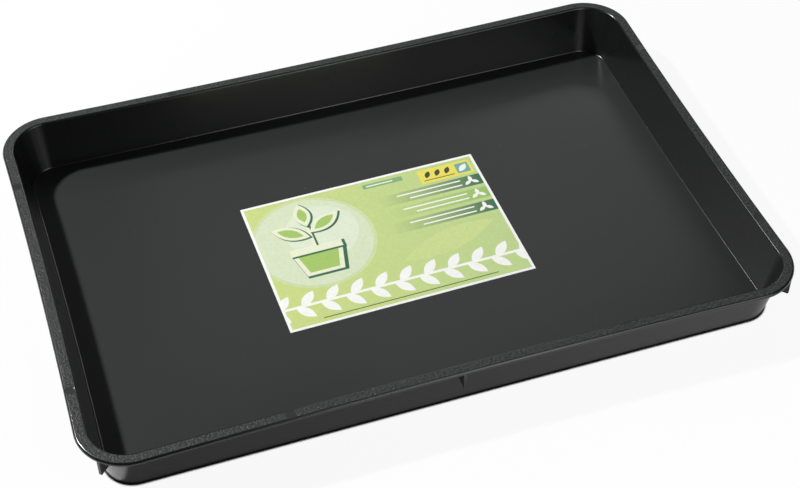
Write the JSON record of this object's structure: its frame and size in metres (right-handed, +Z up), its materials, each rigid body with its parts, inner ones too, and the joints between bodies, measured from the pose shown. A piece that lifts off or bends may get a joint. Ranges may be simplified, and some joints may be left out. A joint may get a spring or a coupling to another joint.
{
  "type": "garden tray",
  "caption": "Shallow black rectangular garden tray with rounded corners, a flat rim with stacking lugs under it, and a printed label stuck on the floor.",
  "frame": {"origin": "middle of the underside, on the surface that the tray stands on", "axes": "+X along the tray's length, +Y across it towards the back edge of the label, +Z up out of the open top"},
  "size_m": [0.572, 0.392, 0.046],
  "materials": {
    "tray_plastic": "black polypropylene, glossy inside, with a finely textured satin rim",
    "label_paper": "coated paper with a satin print in yellow-green, dark green and white",
    "label_glue": "clear pressure-sensitive adhesive"
  },
  "bodies": {
    "root": {"tray_moulding": "tray_plastic", "label_adhesive": "label_glue", "label_sheet": "label_paper"}
  },
  "joints": []
}
